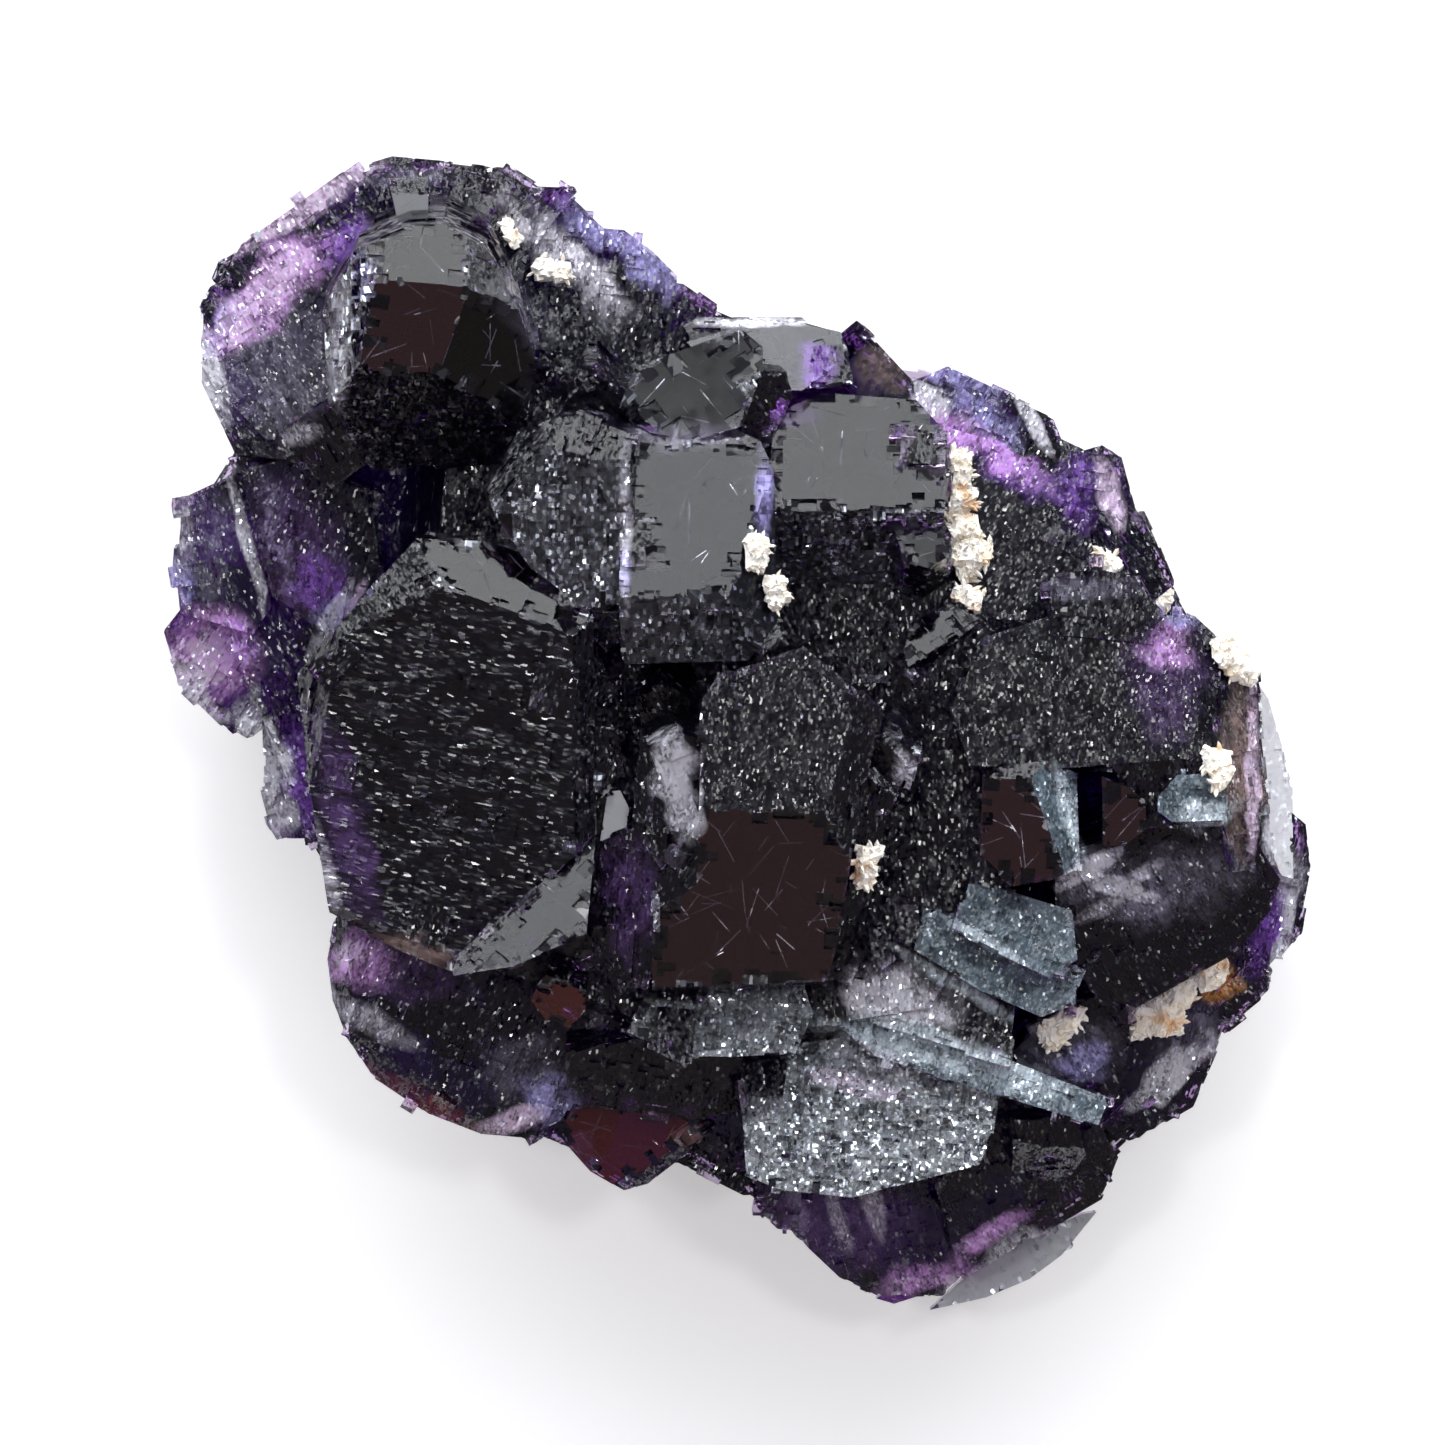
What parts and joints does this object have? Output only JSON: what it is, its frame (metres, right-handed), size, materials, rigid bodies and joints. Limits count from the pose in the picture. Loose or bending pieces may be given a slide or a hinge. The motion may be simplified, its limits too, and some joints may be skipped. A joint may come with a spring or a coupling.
{
  "type": "fluorite crystal cluster",
  "caption": "Hand-sized mineral specimen: intergrown dark purple cubic crystals with bevelled edges on a flat cut back, with cream crusts in the gaps between them.",
  "frame": {"origin": "middle of the footprint's box, on the flat cut face that the specimen rests on", "axes": "+Z out of the crystal side, up from the resting face; +X towards the side with the cream crusts; +Y towards the tall rounded crystal's end"},
  "size_m": [0.0644, 0.0644, 0.0313],
  "materials": {
    "fluorite_cluster": "natural crystal faces, glossy on the smooth ones and finely etched on the rest",
    "calcite": "dull, rough, chalky"
  },
  "bodies": {
    "root": {"fluorite_cluster": "fluorite_cluster", "calcite_east_spray": "calcite", "calcite_east_dot": "calcite", "calcite_east_peak": "calcite", "calcite_east_edge": "calcite", "calcite_east_ridge": "calcite", "calcite_east_ring": "calcite", "calcite_heart_high": "calcite", "calcite_heart_low": "calcite", "calcite_middle": "calcite", "calcite_north": "calcite", "calcite_north_dot": "calcite", "calcite_south_east": "calcite", "calcite_south_rim": "calcite"}
  },
  "joints": []
}
